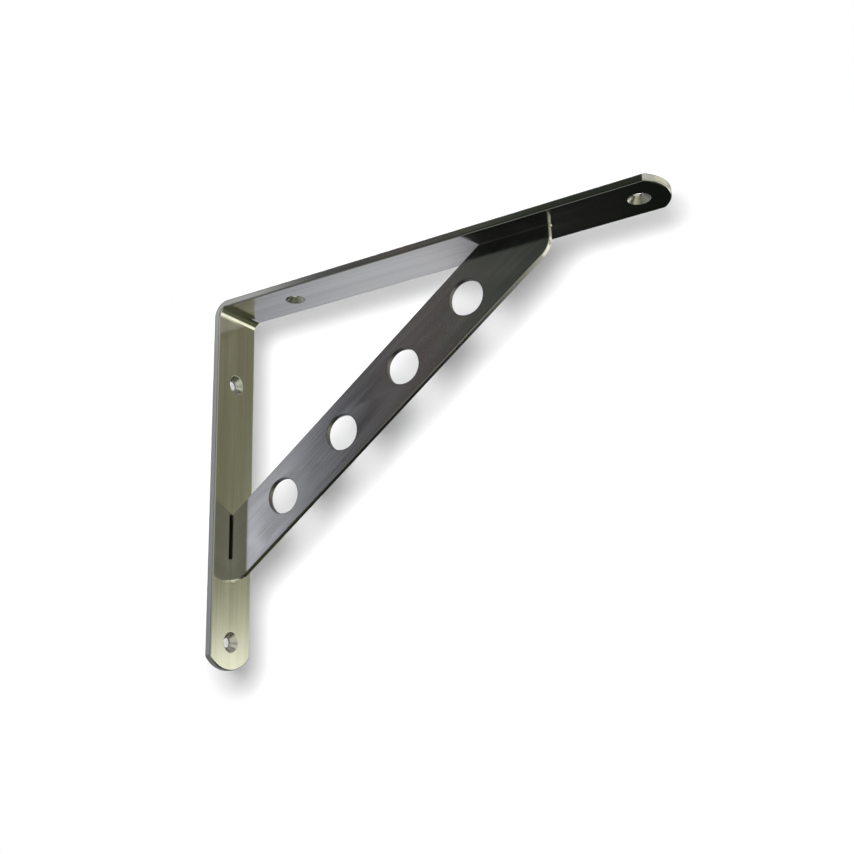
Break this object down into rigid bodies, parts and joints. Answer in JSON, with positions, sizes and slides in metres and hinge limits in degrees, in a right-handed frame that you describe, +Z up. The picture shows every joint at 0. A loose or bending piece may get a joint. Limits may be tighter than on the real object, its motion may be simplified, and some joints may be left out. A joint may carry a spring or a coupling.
{
  "type": "shelf bracket",
  "caption": "Right-angle shelf bracket of bent flat bar, held square by a pierced plate brace set on edge, with countersunk screw holes in both legs.",
  "frame": {"origin": "on the wall plane, in the bracket's middle plane, midway between the two wall screw holes", "axes": "+X out from the wall along the shelf, +Z up the wall, Y across the bracket"},
  "size_m": [0.259, 0.03, 0.202],
  "materials": {
    "bar_steel": "stainless steel flat bar, polished lengthwise",
    "brace_steel": "stainless steel plate, polished lengthwise",
    "weld_steel": "bright weld metal"
  },
  "bodies": {
    "root": {"angle_bar": "bar_steel", "brace": "brace_steel", "foot_weld": "weld_steel", "nose_weld": "weld_steel"}
  },
  "joints": []
}
